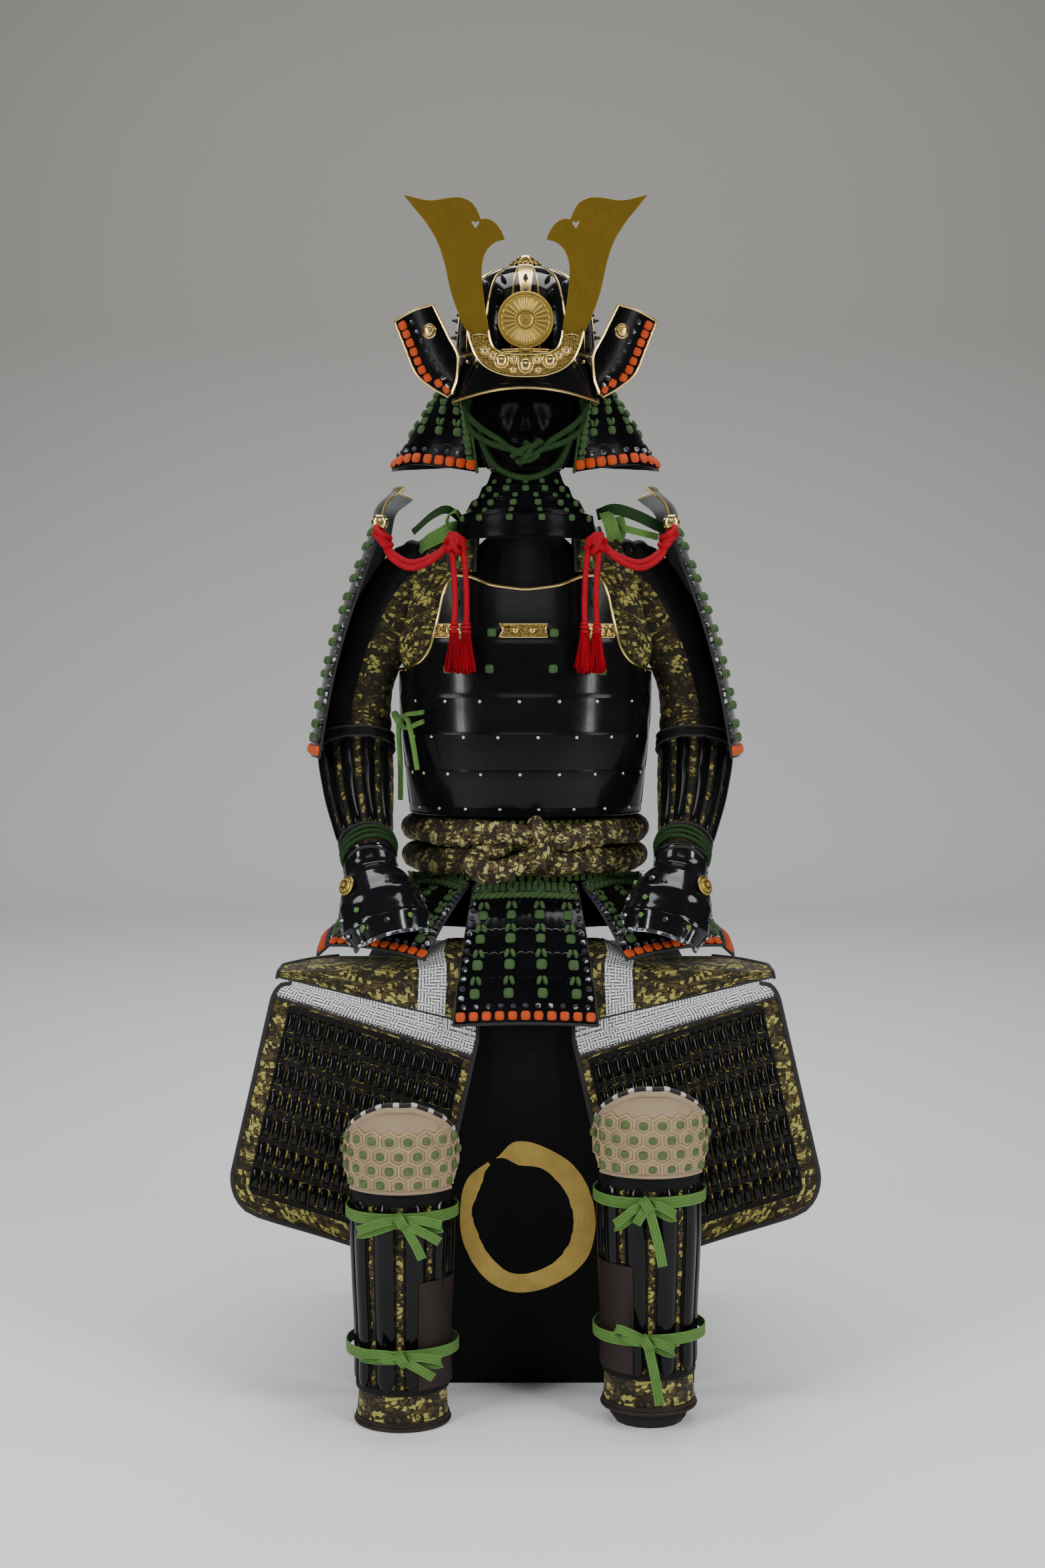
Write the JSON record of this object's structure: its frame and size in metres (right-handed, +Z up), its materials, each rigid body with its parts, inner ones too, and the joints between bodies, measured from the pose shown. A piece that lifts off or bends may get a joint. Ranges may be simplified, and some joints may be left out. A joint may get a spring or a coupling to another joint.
{
  "type": "samurai armour on armour chest",
  "caption": "Full suit of Japanese armour with horned helmet, laced plates, brocade sleeves and shin guards, seated on its black storage chest",
  "frame": {"origin": "centre of the flat underside of the storage chest, on the floor", "axes": "+Z up, the front of the suit faces -Y, +X is the wearer's left; the suit is symmetric about X = 0 apart from the raised left shin guard and the side tie"},
  "size_m": [0.768, 0.618, 1.532],
  "materials": {
    "lacquer": "glossy black lacquer over thin steel",
    "torso_steel": "satin black lacquered steel with engraved gold plates",
    "chest_wood": "matt black lacquered wood",
    "gold": "gilded brass, engraved and brushed",
    "brocade": "woven brocade in gold, green and blue on a dark ground",
    "black_cloth": "matt black cloth",
    "green_silk": "flat braided green silk",
    "red_silk": "braided crimson silk with cut tassels",
    "leather": "tan leather quilted in hexagons"
  },
  "bodies": {
    "root": {"box_body": "chest_wood", "box_lid": "chest_wood", "stand": "black_cloth", "torso_front": "torso_steel", "torso_back": "torso_steel", "strap_R": "brocade", "strap_L": "brocade", "throat_guard": "lacquer", "mask": "lacquer", "helmet_bowl": "lacquer", "helmet_finial": "gold", "helmet_visor": "lacquer", "neck_guard": "lacquer", "turnback_R": "lacquer", "turnback_L": "lacquer", "horn_R": "gold", "horn_L": "gold", "horn_base": "gold", "crest_disc": "gold", "shoulder_guard_R": "lacquer", "shoulder_cap_R": "gold", "shoulder_guard_L": "lacquer", "shoulder_cap_L": "gold", "sleeve_R": "brocade", "forearm_splints_R": "lacquer", "hand_guard_R": "lacquer", "wrist_tie_R": "green_silk", "sleeve_L": "brocade", "forearm_splints_L": "lacquer", "hand_guard_L": "lacquer", "wrist_tie_L": "green_silk", "waist_lacing": "green_silk", "belt_upper": "brocade", "belt_lower": "brocade", "belt_knot": "brocade", "tasset_front": "lacquer", "tasset_fore_R": "lacquer", "tasset_fore_L": "lacquer", "tasset_side_R": "lacquer", "tasset_side_L": "lacquer", "tasset_back_R": "lacquer", "tasset_back_L": "lacquer", "thigh_apron_R": "brocade", "thigh_apron_L": "brocade", "shin_cloth_R": "brocade", "shin_splints_R": "lacquer", "knee_pad_R": "leather", "shin_base_R": "black_cloth", "shin_tie_high_R": "green_silk", "shin_tie_low_R": "green_silk", "shin_cloth_L": "brocade", "shin_splints_L": "lacquer", "knee_pad_L": "leather", "shin_base_L": "black_cloth", "shin_tie_high_L": "green_silk", "shin_tie_low_L": "green_silk", "chin_cord": "green_silk", "red_cord_R": "red_silk", "red_cord_L": "red_silk", "side_tie": "green_silk"}
  },
  "joints": []
}
